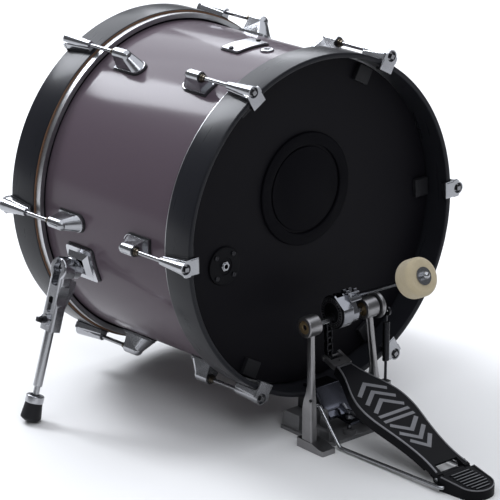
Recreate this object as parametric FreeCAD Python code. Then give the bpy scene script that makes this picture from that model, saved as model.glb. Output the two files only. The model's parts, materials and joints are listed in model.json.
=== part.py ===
"""Eighteen inch trigger bass drum with fold-out spurs and a chain-drive pedal.

Millimetres, +Z up, the player's side is -Y.  The origin lies on the floor,
under the middle of the overall box.

The drum is modelled in its own frame: Y runs along the drum's axis from the
front edge of the batter hoop (y = 0) to the far hoop, Z points at the top of
the shell.  to_floor() then pitches it and lifts it to its height.  The pedal
is modelled on the floor: x from the pedal's own middle plane, y from below
the middle of the batter hoop's front edge, z from the floor.
"""
import FreeCAD, Part
import math
import os

V = FreeCAD.Vector

# ---- driving dimensions: drum ------------------------------------------
SHELL_R = 228.5
SHELL_T = 6.0
SHELL_LEN = 305.0
HOOP_R = 242.0
HOOP_T = 7.5
HOOP_W = 51.0
DRUM_LEN = 389.0
SHELL_START = (DRUM_LEN - SHELL_LEN) / 2
AXIS_H = 291.0
PITCH = 2.5
LUG_ANGLES = (-150, -90, -30, 30, 90, 150)
ROD_RADIUS = 251.0
ROD_R = 3.0
GASKET_T = 1.5
SKIN_R = SHELL_R + GASKET_T
HEAD_T = 2.0
FLESH_HOOP_W = (4.0, 10.0)
RUN = 0.05

# ---- driving dimensions: batter side ------------------------------------
PAD_Z = 46.0
PAD_R = 60.0
PAD_RING_R = 80.0
JACK_X = -149.0
JACK_Z = -30.0
JACK_PLATE_R = 27.0
JACK_BORE_R = 3.25
BLOCK_SIZE = (26.0, 24.0, 7.0)
BLOCK_RADIUS = 217.0

# ---- driving dimensions: shell fittings ---------------------------------
LUG_START = 97.0
LUG_LEN = 52.0
LUG_W = 24.0
BARREL_R = 8.0
BARREL = (103.0, 133.0)
MOUNT_Y = (134.0, 169.0)
MOUNT_HALF_W = 28.5
MOUNT_TURN = -1.3
MOUNT_T = 2.4
VENT_Y = 111.0
SPUR_ANGLE = -105.0
SPUR_PLATE = (50.0, 55.0)
SPUR_Y = 255.0

# ---- driving dimensions: spur leg ---------------------------------------
PIVOT = V(-250.0, 264.0, -61.0)
TIP_R = 22.0
TIP_HALF_W = 15.8
TIP_X = -305.5
TIP_Y = 276.0
LEG_PIVOT_AT = 223.0
CLAMP_FROM = 134.0
ROD_LEG_R = 6.5
ROD_LEG_TOP = 172.0
CLAMP_W = 27.0
CLAMP_D = 20.0

# ---- driving dimensions: pedal ------------------------------------------
PEDAL_X = -5.0
AXLE_Y = -41.0
AXLE_Z = 173.0
AXLE_R = 4.0
POST_X = {"left": (70.0, 57.0), "right": (56.0, 50.0)}
POST_Y = (-62.0, -43.0)
FOOT_BAR = (53.0, 77.0, -92.0, -38.0, 13.0)
RING_R = 15.0
RING_W = 22.0
BASE_HALF_W = 53.0
SHAFT_ANGLE = 26.9
SHAFT_OFFSET = 21.2
SHAFT_R = 3.0
SHAFT_X = 14.0
FELT = (141.0, 174.5, 27.2)
CAM_X = -5.6
CAM_HALF_W = 9.0
CAM_RISE = 9.0
CAM_FLANGE_R = 24.0
CAM_GROOVE_R = 17.4
CHAIN_R = 21.0
CHAIN_PITCH = 9.5
CHAIN_WRAP = 80.0
HINGE_Y = -266.0
HINGE_Z = 13.0
BOARD_SLOPE = 20.5
BOARD_TOP = 9.2
BOARD_T = 4.0
PANEL_SINK = 0.6
SKIRT = 15.0
BOARD_EDGE = ((4, 30), (55, 28.5), (95, 35), (138, 42), (170, 38), (205, 22.5), (236, 13.4))
TOE_PIN = (260.0, 5.0)
HEEL_END = -334.0
HEEL_HALF_W = 32.0
ROTOR_X = 63.0
CRANK_R = 13.0
CRANK_ANGLE = 37.0
SPRING_X = 76.0
SPRING_Z = (88.0, 150.0)

# The claws reach furthest back and the heel plate furthest forward.
BACK_END = 405.754
MID_Y = (HEEL_END + BACK_END) / 2

nodes = {}


# ---- helpers ---------------------------------------------------------------
def box(x, y, z):
    """A box from three (low, high) pairs."""
    return Part.makeBox(x[1] - x[0], y[1] - y[0], z[1] - z[0], V(x[0], y[0], z[0]))


def rod(r, start, end):
    """A round bar between two points."""
    return Part.makeCylinder(r, (end - start).Length, start, end - start)


def tube_y(outer, inner, y0, y1):
    """A ring about the drum's axis."""
    ring = Part.makeCylinder(outer, y1 - y0, V(0, y0, 0), V(0, 1, 0))
    return ring.cut(Part.makeCylinder(inner, y1 - y0, V(0, y0, 0), V(0, 1, 0)))


def prism(points, depth, along):
    """Extrude a closed polygon by a vector of the given length."""
    loop = [V(*p) for p in points]
    return Part.Face(Part.makePolygon(loop + loop[:1])).extrude(along * depth)


def side_prism(points, x0, x1):
    """Extrude a (y, z) polygon from x0 to x1."""
    return prism([(x0, y, z) for y, z in points], x1 - x0, V(1, 0, 0))


def rounded_plate(half_w, y0, y1, z0, z1, r):
    """A flat plate with four rounded corners, seen from above."""
    plate = box((-half_w, half_w), (y0, y1), (z0, z1))
    upright = [e for e in plate.Edges if abs(e.tangentAt(e.FirstParameter).z) > 0.9]
    return plate.makeFillet(r, upright)


def round_edges(shape, r, keep):
    """Round the edges that keep() picks, by their middle point."""
    picked = [e for e in shape.Edges if keep(e.valueAt((e.FirstParameter + e.LastParameter) / 2))]
    return shape.makeFillet(r, picked)


def turned(shape, angle):
    """Turn a copy about the drum's axis, from the top towards +X."""
    copy = shape.copy()
    copy.rotate(V(0, 0, 0), V(0, 1, 0), angle)
    return copy


def far_side(shape):
    """The same fitting on the far end of the drum."""
    return shape.mirror(V(0, DRUM_LEN / 2, 0), V(0, 1, 0))


def other_side(shape):
    """The same fitting on the drum's right."""
    return shape.mirror(V(0, 0, 0), V(1, 0, 0))


def around(shape):
    """One copy at each lug angle, at both ends."""
    near = [turned(shape, a) for a in LUG_ANGLES]
    return near + [far_side(s) for s in near]


def to_floor(shape):
    """Pitch the drum and lift it to its height above the floor."""
    place = FreeCAD.Placement(V(0, -MID_Y, AXIS_H), FreeCAD.Rotation(V(1, 0, 0), -PITCH))
    copy = shape.copy()
    copy.Placement = place.multiply(copy.Placement)
    return copy


def to_pedal(shape):
    """Set a pedal part beside the drum's middle plane."""
    copy = shape.copy()
    copy.translate(V(PEDAL_X, -MID_Y, 0))
    return copy


def drum(name, *shapes):
    nodes[name] = [to_floor(s) for s in shapes]


def pedal(name, *shapes):
    nodes[name] = [to_pedal(s) for s in shapes]


# ---- shell, hoops and heads ---------------------------------------------
def make_shell():
    shell = tube_y(SHELL_R, SHELL_R - SHELL_T, SHELL_START, SHELL_START + SHELL_LEN)
    bevel = SHELL_T - 1.5
    for end, way in ((SHELL_START, 1), (SHELL_START + SHELL_LEN, -1)):
        inner = SHELL_R - SHELL_T
        cone = Part.makeCone(inner + bevel, inner, bevel, V(0, end, 0), V(0, way, 0))
        shell = shell.cut(cone)
    vent = rod(VENT_R + RUN, V(0, VENT_Y, SHELL_R - 20), V(0, VENT_Y, SHELL_R + 20))
    drum("shell", shell.cut(vent))


def hoop_with_grooves(y0):
    """A wooden hoop with rounded edges and a shallow groove inside."""
    hoop = tube_y(HOOP_R, HOOP_R - HOOP_T, y0, y0 + HOOP_W)
    return hoop.makeFillet(2.0, [e for e in hoop.Edges if e.Closed])


def make_hoops():
    drum("batter_hoop", hoop_with_grooves(0))
    drum("resonant_hoop", hoop_with_grooves(DRUM_LEN - HOOP_W))
    near = tube_y(SHELL_R + 10.0, SHELL_R + 3.0, HOOP_W, HOOP_W + FLESH_HOOP_W[0])
    far_end = DRUM_LEN - HOOP_W
    far = tube_y(SHELL_R + 10.0, SHELL_R + 3.0, far_end - FLESH_HOOP_W[1], far_end)
    drum("flesh_hoops", near, far)


def head_film(reach):
    """A head: flat film across the shell, turned down over its edge."""
    film = Part.makeCylinder(SHELL_R + 2.8, HEAD_T, V(0, SHELL_START - HEAD_T, 0), V(0, 1, 0))
    skirt = tube_y(SHELL_R + 2.8, SHELL_R + 0.8, SHELL_START, reach)
    return film.fuse(skirt).removeSplitter()


def make_heads():
    batter = head_film(HOOP_W + FLESH_HOOP_W[0])
    back = SHELL_START + 1
    batter = batter.cut(rod(JACK_NUT_R + 0.5, V(JACK_X, 0, JACK_Z), V(JACK_X, back, JACK_Z)))
    drum("batter_head", batter)
    drum("resonant_head", far_side(head_film(HOOP_W + FLESH_HOOP_W[1])))


def make_strike_pad():
    face = SHELL_START - HEAD_T
    pad = Part.makeCylinder(PAD_R, 2.5, V(0, face - 2.5, PAD_Z), V(0, 1, 0))
    pad = round_edges(pad, 1.2, lambda p: p.y < face - 2)
    ring = Part.makeCylinder(PAD_RING_R, 4.0, V(0, face - 4.0, PAD_Z), V(0, 1, 0))
    ring = ring.cut(Part.makeCylinder(PAD_R + 3, 4.0, V(0, face - 4.0, PAD_Z), V(0, 1, 0)))
    ring = ring.makeFillet(1.8, [e for e in ring.Edges if e.Closed and e.CenterOfMass.y < face - 3])
    drum("strike_pad", pad)
    drum("strike_pad_ring", ring)


def make_head_blocks():
    wide, tall, thick = BLOCK_SIZE
    face = SHELL_START - HEAD_T
    block = box((-wide / 2, wide / 2), (face - thick, face),
                (BLOCK_RADIUS - tall / 2, BLOCK_RADIUS + tall / 2))
    block = block.makeFillet(1.2, [e for e in block.Edges if e.BoundBox.YMax < face - 0.1
                                   or e.BoundBox.YLength > thick - 0.1])
    drum("head_blocks", *[turned(block, a) for a in LUG_ANGLES])


# ---- trigger parts behind the head ----------------------------------------
BAR_HALF_H = 20.0
BAR_Y = (62.0, 65.0)
FOAM_T = BAR_Y[0] - SHELL_START
PIEZO_R = 17.5


def make_trigger():
    inner = Part.makeCylinder(SHELL_R - SHELL_T, 40, V(0, BAR_Y[0] - 5, 0), V(0, 1, 0))
    web = box((-SHELL_R, SHELL_R), BAR_Y, (PAD_Z - BAR_HALF_H, PAD_Z + BAR_HALF_H))
    lips = [box((-SHELL_R, SHELL_R), (BAR_Y[0], BAR_Y[1] + 10), (z, z + 3))
            for z in (PAD_Z - BAR_HALF_H, PAD_Z + BAR_HALF_H - 3)]
    bar = web.fuse(lips).common(inner).removeSplitter()
    drum("pad_support_bar", bar)
    foam = Part.makeCylinder(PAD_R - 5, FOAM_T, V(0, SHELL_START, PAD_Z), V(0, 1, 0))
    pocket = Part.makeCylinder(PIEZO_R + 0.5, 2, V(0, SHELL_START, PAD_Z), V(0, 1, 0))
    drum("sensor_foam", foam.cut(pocket))
    piezo = Part.makeCylinder(PIEZO_R, 0.4, V(0, SHELL_START, PAD_Z), V(0, 1, 0))
    crystal = Part.makeCylinder(PIEZO_R - 5, 0.4, V(0, SHELL_START + 0.4, PAD_Z), V(0, 1, 0))
    drum("piezo_sensor", piezo.fuse(crystal))


# ---- output jack -------------------------------------------------------------
JACK_NUT_R = 7.0
JACK_SCREWS_AT = 21.0
SCREW_R = 1.75


def pan_screw(length):
    """A cross-head screw pointing up, its head's underside at z = 0."""
    head = Part.makeCylinder(3.4, 2.2)
    head = head.makeFillet(1.2, [e for e in head.Edges if e.Closed and e.CenterOfMass.z > 2])
    cross = box((-2.0, 2.0), (-0.4, 0.4), (1.2, 3)).fuse(box((-0.4, 0.4), (-2.0, 2.0), (1.2, 3)))
    shank = Part.makeCylinder(SCREW_R, length, V(0, 0, -length))
    return head.cut(cross).fuse(shank)


def make_jack():
    face = SHELL_START - HEAD_T
    centre = V(JACK_X, face, JACK_Z)
    plate = Part.makeCylinder(JACK_PLATE_R, 3.5, centre, V(0, -1, 0))
    plate = plate.makeFillet(1.5, [e for e in plate.Edges if e.Closed and e.CenterOfMass.y < face - 3])
    plate = plate.cut(Part.makeCylinder(12.5, 1.2, centre + V(0, -2.3, 0), V(0, -1, 0)))
    plate = plate.cut(Part.makeCylinder(5.05, 20, centre + V(0, 5, 0), V(0, -1, 0)))
    screws = []
    for k in range(4):
        a = math.radians(45 + 90 * k)
        at = centre + V(math.cos(a), 0, math.sin(a)) * JACK_SCREWS_AT
        plate = plate.cut(Part.makeCylinder(SCREW_R + RUN, 10, at + V(0, 2, 0), V(0, -1, 0)))
        screw = pan_screw(3.4)
        screw.rotate(V(0, 0, 0), V(1, 0, 0), 90)
        screw.translate(at + V(0, -3.5, 0))
        screws.append(screw)
    drum("jack_plate", plate)
    body = Part.makeCylinder(5.0, 26, centre + V(0, 22, 0), V(0, -1, 0))
    nut = Part.makeCylinder(JACK_NUT_R, 2.5, centre + V(0, -2.3, 0), V(0, -1, 0))
    nut = nut.common(hex_bar(JACK_NUT_R, centre + V(0, -2.3, 0), 2.5))
    rim = Part.makeCylinder(5.0, 1.5, centre + V(0, -4.8, 0), V(0, -1, 0))
    bore = Part.makeCylinder(JACK_BORE_R, 27.5, centre + V(0, 20, 0), V(0, -1, 0))
    drum("jack_socket", body.fuse([nut, rim]).cut(bore).removeSplitter())
    drum("jack_screws", *screws)


def hex_bar(r, start, length):
    """A hexagonal bar towards -Y from a start point, r to its corners."""
    corners = []
    for k in range(6):
        a = math.radians(60 * k)
        corners.append((start.x + r * math.cos(a), start.y, start.z + r * math.sin(a)))
    return prism(corners, length, V(0, -1, 0))


# ---- lugs and tension rods ------------------------------------------------
def lug_outline(grow, z0, z1):
    """The lug's foot from above: square at the mouth end, round at the other."""
    half = LUG_W / 2 + grow
    y0 = LUG_START - grow
    y1 = LUG_START + LUG_LEN + grow
    foot = box((-half, half), (y0, y1 - half), (z0, z1))
    return foot.fuse(Part.makeCylinder(half, z1 - z0, V(0, y1 - half, z0))).removeSplitter()


def hug_shell(shape, inner, outer):
    """Trim an upright plate to a layer that follows the shell."""
    return shape.common(tube_y(outer, inner, 50, DRUM_LEN - 50))


def level_box(half_w, y0, y1, z):
    return Part.makePolygon([V(-half_w, y0, z), V(half_w, y0, z), V(half_w, y1, z),
                             V(-half_w, y1, z), V(-half_w, y0, z)])


def make_lugs():
    gasket = hug_shell(lug_outline(1.5, 200, 260), SHELL_R, SKIN_R)
    foot = hug_shell(lug_outline(0, 200, 260), SKIN_R, SKIN_R + 3.0)
    bend = V(0, BARREL[1] - BARREL_R, ROD_RADIUS)
    barrel = rod(BARREL_R, V(0, BARREL[0], ROD_RADIUS), bend)
    low = Part.makeCircle(LUG_W / 2, V(0, LUG_START + LUG_LEN - LUG_W / 2, SKIN_R + 1))
    high = Part.makeCircle(BARREL_R - 0.2, bend)
    leg = Part.makeLoft([Part.Wire([low]), Part.Wire([high])], True)
    elbow = Part.makeSphere(BARREL_R, bend)
    body = Part.makeLoft([level_box(LUG_W / 2 - 0.8, BARREL[0], LUG_START + LUG_LEN - LUG_W / 2,
                                    SKIN_R + 1),
                          level_box(BARREL_R - 0.05, BARREL[0], bend.y, ROD_RADIUS)], True, True)
    lug = foot.fuse([leg, body, barrel, elbow]).removeSplitter()
    bore_end = BARREL[1] - 6
    lug = lug.cut(rod(5.2, V(0, BARREL[0] - 1, ROD_RADIUS), V(0, bore_end, ROD_RADIUS)))
    drum("lugs", *around(lug))
    washer = rod(BARREL_R - 0.8, V(0, BARREL[0] - 2, ROD_RADIUS), V(0, BARREL[0], ROD_RADIUS))
    nut = rod(4.2, V(0, BARREL[0] - 9, ROD_RADIUS), V(0, bore_end - 2, ROD_RADIUS))
    nut = nut.fuse(rod(5.8, V(0, BARREL[0] - 4.5, ROD_RADIUS), V(0, BARREL[0] - 2, ROD_RADIUS)))
    hole = rod(ROD_R + RUN, V(0, 0, ROD_RADIUS), V(0, bore_end, ROD_RADIUS))
    washer_hole = rod(4.2 + RUN, V(0, 0, ROD_RADIUS), V(0, bore_end, ROD_RADIUS))
    drum("nut_washers", *around(washer.cut(washer_hole)))
    drum("swivel_nuts", *around(nut.cut(hole)))
    return around(gasket)


CLAW_LEN = 46.0
CLAW_SEAT = HOOP_R + 1.2
BOLT_SEAT = 1.0


def make_claws():
    """Claw hooks over the hoops, with their gaskets and tension rods."""
    def section(y, half, low, high):
        return Part.makePolygon([V(-half, y, low), V(half, y, low), V(half, y, high),
                                 V(-half, y, high), V(-half, y, low)])

    body = Part.makeLoft([section(-5, 12, CLAW_SEAT, 253), section(CLAW_LEN, 6, CLAW_SEAT, 250)], True)
    body = body.makeFillet(2.5, [e for e in body.Edges
                                 if e.BoundBox.YLength > 40 and e.BoundBox.ZMax > 249])
    tube = Part.makeCone(9.2, 5.5, CLAW_LEN + 5, V(0, -5, ROD_RADIUS), V(0, 1, 0))
    tube = tube.cut(box((-20, 20), (-10, 60), (200, CLAW_SEAT)))
    hook = box((-12, 12), (-5, -0.3), (228, 252))
    hook = hook.makeFillet(2.0, [e for e in hook.Edges if e.BoundBox.YMax < -4.9])
    lip = box((-11, 11), (-4, 6), (228, 231.5))
    lip = lip.makeFillet(1.2, [e for e in lip.Edges if e.BoundBox.YMin > 5.9])
    claw = body.fuse([tube, hook, lip]).removeSplitter()
    hole = rod(ROD_R + RUN, V(0, -10, ROD_RADIUS), V(0, 60, ROD_RADIUS))
    recess = rod(7.6, V(0, -10, ROD_RADIUS), V(0, BOLT_SEAT, ROD_RADIUS))
    claw = claw.cut(hole.fuse(recess))
    drum("claws", *around(claw))

    pad = Part.makeLoft([section(0, 13.4, 230, 250), section(CLAW_LEN + 1, 7.4, 230, 250)], True)
    pad = pad.common(tube_y(CLAW_SEAT, HOOP_R, -5, 60))
    body_room = box((-12, 12), (-6, 60), (CLAW_SEAT, 260))
    drum("claw_gaskets", *around(pad.cut(body_room)))

    flange = rod(6.6, V(0, BOLT_SEAT - 2.2, ROD_RADIUS), V(0, BOLT_SEAT, ROD_RADIUS))
    flange = flange.makeFillet(0.8, [e for e in flange.Edges if e.Closed and e.CenterOfMass.y < 0])
    drive = box((-3.2, 3.2), (BOLT_SEAT - 8.5, BOLT_SEAT - 2),
                (ROD_RADIUS - 3.2, ROD_RADIUS + 3.2))
    drive = drive.makeFillet(0.7, [e for e in drive.Edges if e.BoundBox.YMin < BOLT_SEAT - 8.4])
    shank = rod(ROD_R, V(0, BOLT_SEAT, ROD_RADIUS), V(0, BARREL[1] - 10, ROD_RADIUS))
    drum("tension_rods", *around(shank.fuse([flange, drive])))


# ---- shell-top mount and air vent ----------------------------------------
VENT_R = 6.0


def make_mount():
    """Blanking plate over the shell-top mount, with its gasket and screws."""
    def layer(half_w, grow, inner, outer):
        plate = rounded_plate(half_w + grow, MOUNT_Y[0] - grow, MOUNT_Y[1] + grow, 200, 260, 4)
        return turned(hug_shell(plate, inner, outer), MOUNT_TURN)

    gasket = layer(MOUNT_HALF_W, 1.5, SHELL_R, SKIN_R)
    plate = layer(MOUNT_HALF_W, 0, SKIN_R, SKIN_R + MOUNT_T)
    screws = []
    y = sum(MOUNT_Y) / 2
    for side in (-1, 1):
        angle = MOUNT_TURN + side * 6.1
        hole = rod(SCREW_R + RUN, V(0, y, SHELL_R - 1), V(0, y, SHELL_R + 12))
        hole = turned(hole, angle)
        plate = plate.cut(hole)
        gasket = gasket.cut(hole)
        screw = pan_screw(MOUNT_T + GASKET_T - 0.1)
        screw.translate(V(0, y, SKIN_R + MOUNT_T))
        screws.append(turned(screw, angle))
    drum("mount_plate", plate)
    flange = rod(9.5, V(0, VENT_Y, SHELL_R - 2), V(0, VENT_Y, SHELL_R + 2.5))
    flange = flange.makeFillet(1.2, [e for e in flange.Edges if e.Closed
                                     and e.CenterOfMass.z > SHELL_R + 2])
    flange = flange.cut(tube_y(SHELL_R, SHELL_R - 30, 80, 140))
    flange = flange.fuse(rod(VENT_R, V(0, VENT_Y, SHELL_R - 9), V(0, VENT_Y, SHELL_R + 1)))
    bore = rod(VENT_R - 1.5, V(0, VENT_Y, SHELL_R - 20), V(0, VENT_Y, SHELL_R + 20))
    drum("air_vent", flange.cut(bore).removeSplitter())
    return gasket, screws


# ---- spurs ---------------------------------------------------------------------
def spur_frame():
    """The leg's own axes: up the leg, outwards along the pivot, and along the drum."""
    sine = math.sin(math.radians(PITCH))
    cosine = math.cos(math.radians(PITCH))
    tip = V(TIP_X, TIP_Y, (TIP_R - AXIS_H + TIP_Y * sine) / cosine)
    up = (PIVOT - tip).normalize()
    out = V(0, 1, 0).cross(up).normalize() * -1
    along = out.cross(up).normalize()
    return tip, up, out, along


def leg_point(up_by=0.0, out_by=0.0, along_by=0.0):
    """A point on the leg: distances from the tip's end, the axis and sideways."""
    tip, up, out, along = spur_frame()
    return tip + up * (up_by - TIP_R) + out * out_by + along * along_by


def leg_shape(shape):
    """Move a shape from leg coordinates (along, out, up) onto the drum."""
    tip, up, out, along = spur_frame()
    start = tip - up * TIP_R
    matrix = FreeCAD.Matrix(along.x, out.x, up.x, start.x, along.y, out.y, up.y, start.y,
                            along.z, out.z, up.z, start.z, 0, 0, 0, 1)
    copy = shape.copy()
    copy.Placement = FreeCAD.Placement(matrix).multiply(copy.Placement)
    return copy


BOSS_R = 13.0
STUD_R = 5.0
CAP_R = 7.5
POCKET = -4.0


def make_spur_bracket():
    """The bracket on the shell, with the stud that the leg folds on."""
    tang, axial = SPUR_PLATE
    y0, y1 = SPUR_Y - axial / 2, SPUR_Y + axial / 2
    gasket = hug_shell(rounded_plate(tang / 2 + 1.5, y0 - 1.5, y1 + 1.5, 200, 260, 6), SHELL_R, SKIN_R)
    plate = hug_shell(rounded_plate(tang / 2, y0, y1, 200, 260, 5), SKIN_R, SKIN_R + 4)

    def level(z, half, low, high):
        return Part.makePolygon([V(-half, low, z), V(half, low, z), V(half, high, z),
                                 V(-half, high, z), V(-half, low, z)])

    hood = Part.makeLoft([level(SKIN_R + 1, tang / 2 - 5, y0 + 5, y1 - 4),
                          level(SKIN_R + 10, tang / 2 - 13, y0 + 14, y1 - 9)], True)
    hood = hood.makeFillet(1.5, [e for e in hood.Edges if e.BoundBox.ZMax > SKIN_R + 9])
    bracket = turned(plate.fuse(hood), SPUR_ANGLE)
    face = -CLAMP_D / 2
    boss = rod(BOSS_R, leg_point(LEG_PIVOT_AT, face - 14), leg_point(LEG_PIVOT_AT, face - 0.3))
    stud = rod(STUD_R, leg_point(LEG_PIVOT_AT, face - 2), leg_point(LEG_PIVOT_AT, POCKET + 1))
    cap = rod(CAP_R, leg_point(LEG_PIVOT_AT, POCKET + 0.3), leg_point(LEG_PIVOT_AT, POCKET + 3.5))
    socket = rod(3.2, leg_point(LEG_PIVOT_AT, POCKET + 1.5), leg_point(LEG_PIVOT_AT, POCKET + 4))
    cap = cap.cut(socket)
    bracket = bracket.fuse([boss, stud, cap]).removeSplitter()
    keep_out = Part.makeCylinder(SKIN_R, 100, V(0, SPUR_Y - 50, 0), V(0, 1, 0))
    bracket = bracket.cut(keep_out)
    drum("spur_brackets", bracket, other_side(bracket))
    gasket = turned(gasket, SPUR_ANGLE)
    return [gasket, other_side(gasket)]


def make_spur_leg():
    """Clamp casting, sliding rod, collar, rubber tip and clamp screw."""
    half_w, half_d = CLAMP_W / 2, CLAMP_D / 2
    head_r = 17.0
    trunk = box((-half_w, half_w), (-half_d, half_d), (CLAMP_FROM, LEG_PIVOT_AT))
    trunk = trunk.makeFillet(5.0, [e for e in trunk.Edges if e.BoundBox.ZLength > 60])
    waist = [Part.makeCylinder(70, CLAMP_D + 2, V(s * (70 + half_w - 2), -half_d - 1, 186),
                               V(0, 1, 0)) for s in (-1, 1)]
    head = Part.makeCylinder(head_r, CLAMP_D, V(0, -half_d, LEG_PIVOT_AT), V(0, 1, 0))
    head = head.makeFillet(2.5, [e for e in head.Edges if e.Closed])
    elbow_top = LEG_PIVOT_AT - BOSS_R - 1.5
    elbow = prism([(-9, -half_d + 1, 160), (-9, -half_d - 11, elbow_top - 14),
                   (-9, -half_d - 11, elbow_top), (-9, -half_d + 1, elbow_top)], 18, V(1, 0, 0))
    elbow = elbow.makeFillet(2.0, [e for e in elbow.Edges if e.BoundBox.YMax < -half_d
                                   and e.BoundBox.XLength > 17])
    screw_at = CLAMP_FROM + 15
    boss = Part.makeCylinder(8.0, half_d + 5, V(0, 0, screw_at), V(0, 1, 0))
    casting = trunk.cut(waist[0]).cut(waist[1]).fuse([head, elbow, boss]).removeSplitter()
    rod_room = Part.makeCylinder(ROD_LEG_R + RUN, 200 - CLAMP_FROM + 1, V(0, 0, CLAMP_FROM - 1))
    stud_room = Part.makeCylinder(STUD_R + RUN, 60, V(0, -30, LEG_PIVOT_AT), V(0, 1, 0))
    pocket = Part.makeCylinder(CAP_R + 1.5, 30, V(0, POCKET, LEG_PIVOT_AT), V(0, 1, 0))
    window = box((-7, 7), (POCKET, 20), (199, LEG_PIVOT_AT))
    window = window.makeFillet(4.0, [e for e in window.Edges if e.BoundBox.YLength > 20
                                     and e.BoundBox.ZMax < 200])
    gap = box((-5, 5), (POCKET, 20), (LEG_PIVOT_AT + 8, LEG_PIVOT_AT + 20))
    slot = box((-4.5, 4.5), (0, 20), (160, 183))
    slot = slot.makeFillet(3.5, [e for e in slot.Edges if e.BoundBox.YLength > 19])
    screw_room = Part.makeCylinder(3.0 + RUN, 30, V(0, 0, screw_at), V(0, 1, 0))
    for cut in (rod_room, stud_room, pocket, window, gap, slot, screw_room):
        casting = casting.cut(cut)
    bridge = Part.makeCylinder(2.2, 18, V(-9, 5, LEG_PIVOT_AT + 12.5), V(1, 0, 0))
    casting = casting.fuse(bridge).removeSplitter()

    leg = Part.makeCylinder(ROD_LEG_R, ROD_LEG_TOP - 52, V(0, 0, 52))
    leg = leg.makeFillet(1.2, [e for e in leg.Edges if e.Closed])
    neck = Part.makeCylinder(4.5, 40, V(0, 0, 16))
    leg = leg.fuse(neck)
    collar = Part.makeCylinder(13.0, 11, V(0, 0, 28))
    collar = collar.makeFillet(1.5, [e for e in collar.Edges if e.Closed])
    collar = collar.cut(Part.makeCylinder(8.0, 6, V(0, 0, 34)))
    collar = collar.cut(Part.makeCylinder(4.5 + RUN, 30, V(0, 0, 20)))
    tip = Part.makeCone(TIP_HALF_W, 12.2, 28).common(Part.makeSphere(TIP_R, V(0, 0, TIP_R)))
    tip = tip.makeFillet(2.5, [e for e in tip.Edges if e.Closed and 3 < e.CenterOfMass.z < 12])
    tip = tip.cut(Part.makeCylinder(4.5 + RUN, 30, V(0, 0, 16)))
    seat = ROD_LEG_R + 0.2
    screw = Part.makeCylinder(3.0, half_d + 6 - seat, V(0, seat, screw_at), V(0, 1, 0))
    knob = Part.makeCylinder(4.8, 5, V(0, half_d + 5.3, screw_at), V(0, 1, 0))
    drive = box((-3.1, 3.1), (half_d + 10, half_d + 17), (screw_at - 3.1, screw_at + 3.1))
    drive = drive.makeFillet(0.7, [e for e in drive.Edges if e.BoundBox.YMin > half_d + 16.9])
    screw = screw.fuse([knob, drive])
    parts = {"clamp": casting, "rod": leg, "collar": collar, "foot": tip, "screw": screw}
    for name, shape in parts.items():
        placed = leg_shape(shape)
        drum("left_spur_" + name, placed)
        drum("right_spur_" + name, other_side(placed))


# ---- pedal frame -----------------------------------------------------------------
POST_PROFILE = ((0.0, 6.0, 10.5, 5.0), (0.28, 5.6, 10.0, 4.5), (0.36, 5.0, 8.6, 3.2),
                (0.43, 4.1, 6.7, 1.4), (0.5, 3.6, 5.8, 0.5), (0.95, 3.2, 5.2, 0.0))


def post_section(side, t, half_x, half_y, dx, dy):
    """A rounded rectangle across the post, t from 0 at its foot to 1 at the axle."""
    foot_x, top_x = POST_X[side]
    x = foot_x + (top_x - foot_x) * t + dx
    y = POST_Y[0] + (POST_Y[1] - POST_Y[0]) * t + dy
    z = FOOT_BAR[4] - 1 + (AXLE_Z - FOOT_BAR[4] + 1) * t
    r = min(2.5, half_x * 0.6)
    corners = []
    for cx, cy, a0 in ((1, 1, 0), (-1, 1, 90), (-1, -1, 180), (1, -1, 270)):
        for a in (a0, a0 + 45, a0 + 90):
            corners.append((x + cx * (half_x - r) + r * math.cos(math.radians(a)),
                            y + cy * (half_y - r) + r * math.sin(math.radians(a)), z))
    edges = []
    for k in range(4):
        arc = [V(*corners[3 * k + j]) for j in range(3)]
        edges.append(Part.Arc(*arc).toShape())
        edges.append(Part.makeLine(arc[2], V(*corners[(3 * k + 3) % 12])))
    return Part.Wire(edges)


RADIUS_ROD_R = 2.8
RADIUS_ROD_AT = (-50.0, 56.0)
RADIUS_ROD_END = {"left": (64.5, 46.5), "right": (54.0, 43.5)}
BUSH_R = 10.0


def make_post(side):
    """One cast post with its foot bar and bearing ring; x is outwards."""
    leg = Part.makeLoft([post_section(side, t, hx, hy, 0, dy)
                         for t, hx, hy, dy in POST_PROFILE], True, True)
    groove = Part.makeLoft([post_section(side, max(t, 0.08), 1.5, hy - 2.2, -hx, dy)
                            for t, hx, hy, dy in POST_PROFILE], True, True)
    top_x = POST_X[side][1]
    outer = top_x + RING_W / 2
    inner = top_x - RING_W / 2
    ring = rod(RING_R, V(inner, AXLE_Y, AXLE_Z), V(outer, AXLE_Y, AXLE_Z))
    ring = ring.makeFillet(2.0, [e for e in ring.Edges if e.Closed])
    x0, x1, y0, y1, high = FOOT_BAR
    bar = side_prism([(y0, 0), (y1, 0), (y1, high), (y0 + 24, high), (y0 + 7, high - 5),
                      (y0, high - 5)], x0, x1)
    bar = bar.makeFillet(2.0, [e for e in bar.Edges if e.BoundBox.ZLength > 6
                               and e.BoundBox.YLength < 0.1 and e.BoundBox.XLength < 0.1])
    post = leg.cut(groove).fuse([ring, bar]).removeSplitter()
    bore = rod(BUSH_R, V(inner - 1, AXLE_Y, AXLE_Z), V(outer + 1, AXLE_Y, AXLE_Z))
    y, z = RADIUS_ROD_AT
    rod_hole = rod(RADIUS_ROD_R + RUN, V(40, y, z), V(RADIUS_ROD_END[side][0] + 1.2, y, z))
    bolt_hole = rod(2.4, V(POST_X[side][0] - 5, POST_Y[0] + 4, 71), V(90, POST_Y[0] + 4, 71))
    return post.cut(bore).cut(rod_hole).cut(bolt_hole)


def mirrored(shape):
    return shape.mirror(V(0, 0, 0), V(1, 0, 0))


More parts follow.
